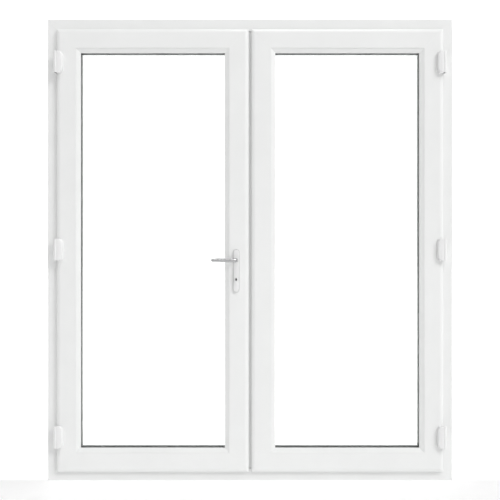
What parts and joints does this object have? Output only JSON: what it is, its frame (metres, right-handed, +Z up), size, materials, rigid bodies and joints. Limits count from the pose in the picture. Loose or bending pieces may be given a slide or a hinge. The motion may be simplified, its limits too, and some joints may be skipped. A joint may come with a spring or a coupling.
{
  "type": "french doors",
  "caption": "Inward-opening pair of glazed white doors in a slim frame, with an active leaf on a lever lock and a passive leaf on flush bolts.",
  "frame": {"origin": "middle of the sill's underside, halfway through the frame's depth", "axes": "+X across the doors to the right seen from the room, -Y towards the room, +Z up"},
  "size_m": [1.8, 0.192, 2.05],
  "materials": {
    "white_pvc": "satin white extruded profile",
    "white_paint": "white powder coat",
    "satin_metal": "satin anodised",
    "bright_steel": "bright zinc",
    "zinc_steel": "galvanised",
    "nickel": "satin nickel",
    "seal_rubber": "matt grey",
    "glass": "clear float glass",
    "spacer_grey": "dark warm-edge bar",
    "packer_blue": "moulded packer"
  },
  "bodies": {
    "frame": {"frame_head": "white_pvc", "frame_sill": "white_pvc", "frame_left_jamb": "white_pvc", "frame_right_jamb": "white_pvc", "frame_steels": "zinc_steel", "frame_gasket": "seal_rubber", "frame_keeps": "bright_steel", "hinge_bases": "white_paint", "hinge_pins": "zinc_steel", "drain_caps": "white_pvc"},
    "left_leaf": {"left_top_rail": "white_pvc", "left_bottom_rail": "white_pvc", "left_hinge_stile": "white_pvc", "left_lock_stile": "white_pvc", "left_steels": "zinc_steel", "left_inner_pane": "glass", "left_outer_pane": "glass", "left_spacer": "spacer_grey", "left_top_bead": "white_pvc", "left_bottom_bead": "white_pvc", "left_hinge_bead": "white_pvc", "left_lock_bead": "white_pvc", "left_glazing_seals": "seal_rubber", "left_packers": "packer_blue", "left_lip_seal": "seal_rubber", "left_hinge_flags": "white_paint", "lock_faceplate": "bright_steel", "lock_case": "zinc_steel", "lock_cylinder": "nickel", "inside_plate": "white_paint", "outside_plate": "white_paint", "plate_screws": "bright_steel"},
    "right_leaf": {"right_top_rail": "white_pvc", "right_bottom_rail": "white_pvc", "right_hinge_stile": "white_pvc", "right_meeting_stile": "white_pvc", "right_steels": "zinc_steel", "right_inner_pane": "glass", "right_outer_pane": "glass", "right_spacer": "spacer_grey", "right_top_bead": "white_pvc", "right_bottom_bead": "white_pvc", "right_hinge_bead": "white_pvc", "right_meeting_bead": "white_pvc", "right_glazing_seals": "seal_rubber", "right_packers": "packer_blue", "right_lip_seal": "seal_rubber", "right_hinge_flags": "white_paint", "astragal": "white_pvc", "astragal_keeps": "bright_steel"},
    "lever_set": {"inside_lever": "satin_metal", "outside_lever": "satin_metal", "spindle": "zinc_steel", "lock_follower": "zinc_steel"},
    "rods": {"locking_rods": "bright_steel"},
    "latch": {"latch_bolt": "bright_steel"},
    "deadbolt": {"dead_bolt": "bright_steel"},
    "key_plug": {"cylinder_plug": "nickel"},
    "top_bolt": {"top_flush_bolt": "bright_steel"},
    "bottom_bolt": {"bottom_flush_bolt": "bright_steel"}
  },
  "joints": [
    {"name": "left_leaf_hinge", "type": "hinge", "parent": "frame", "child": "left_leaf", "pos_m": [-0.857, -0.063, 0.2], "axis": [0, 0, -1], "range_deg": [0, 100]},
    {"name": "right_leaf_hinge", "type": "hinge", "parent": "frame", "child": "right_leaf", "pos_m": [0.857, -0.063, 0.2], "axis": [0, 0, 1], "range_deg": [0, 100]},
    {"name": "lever_turn", "type": "hinge", "parent": "left_leaf", "child": "lever_set", "pos_m": [-0.061, -0.012, 0.98], "axis": [0, 1, 0], "range_deg": [-40, 45], "stiffness_Nm_per_rad": 4},
    {"name": "rod_slide", "type": "slide", "parent": "left_leaf", "child": "rods", "axis": [0, 0, 1], "range_m": [-0.0133, 0.0149]},
    {"name": "latch_slide", "type": "slide", "parent": "left_leaf", "child": "latch", "axis": [-1, 0, 0], "range_m": [0, 0.0145], "stiffness_N_per_m": 400, "springref_m": -0.01},
    {"name": "key_turn", "type": "hinge", "parent": "left_leaf", "child": "key_plug", "pos_m": [-0.061, -0.012, 0.895], "axis": [0, 1, 0], "range_deg": [0, 360]},
    {"name": "deadbolt_slide", "type": "slide", "parent": "left_leaf", "child": "deadbolt", "axis": [1, 0, 0], "range_m": [0, 0.0199]},
    {"name": "top_bolt_slide", "type": "slide", "parent": "right_leaf", "child": "top_bolt", "axis": [0, 0, 1], "range_m": [0, 0.03]},
    {"name": "bottom_bolt_slide", "type": "slide", "parent": "right_leaf", "child": "bottom_bolt", "axis": [0, 0, -1], "range_m": [0, 0.03]}
  ],
  "couplings": [
    {"joint": "lever_turn", "follows": "rod_slide", "rad_per_m": 52.36},
    {"joint": "key_turn", "follows": "deadbolt_slide", "rad_per_m": 314.16}
  ]
}
